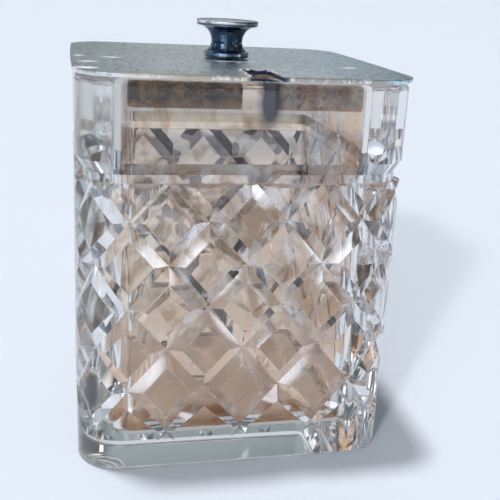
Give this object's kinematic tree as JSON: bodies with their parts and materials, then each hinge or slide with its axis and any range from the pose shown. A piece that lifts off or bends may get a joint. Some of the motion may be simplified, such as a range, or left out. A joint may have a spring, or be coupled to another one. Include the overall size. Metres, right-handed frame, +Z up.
{
  "type": "mustard pot",
  "caption": "Square cut-glass mustard pot with a groove and diamond lattice, and a loose flat plated lid with a spoon slot, a locating flange and a turned knob.",
  "frame": {"origin": "centre of the pot's flat foot, on the surface that it stands on", "axes": "+Z up along the pot's axis and the way the lid lifts off, -Y towards the front with the spoon slot, +X to the right seen from the front"},
  "size_m": [0.061, 0.061, 0.0809],
  "materials": {
    "clear_glass": "polished clear cut glass with sharp mitre grooves",
    "silver_plate": "satin silver plate with fine mottling, scratches and bright worn edges",
    "tarnished_silver": "heavily tarnished silver plate, brown with pinkish copper patches",
    "dark_silver": "polished plate toned dark blue-grey",
    "brass": "plain machined brass"
  },
  "bodies": {
    "jar": {"glass_jar": "clear_glass"},
    "lid": {"lid_plate": "silver_plate", "lid_flange": "tarnished_silver", "lid_knob": "dark_silver", "knob_stud": "brass", "knob_washer": "brass", "knob_nut": "brass"}
  },
  "joints": [
    {"name": "lid_lift", "type": "slide", "parent": "jar", "child": "lid", "axis": [0, 0, 1], "range_m": [0, 0.05]}
  ]
}
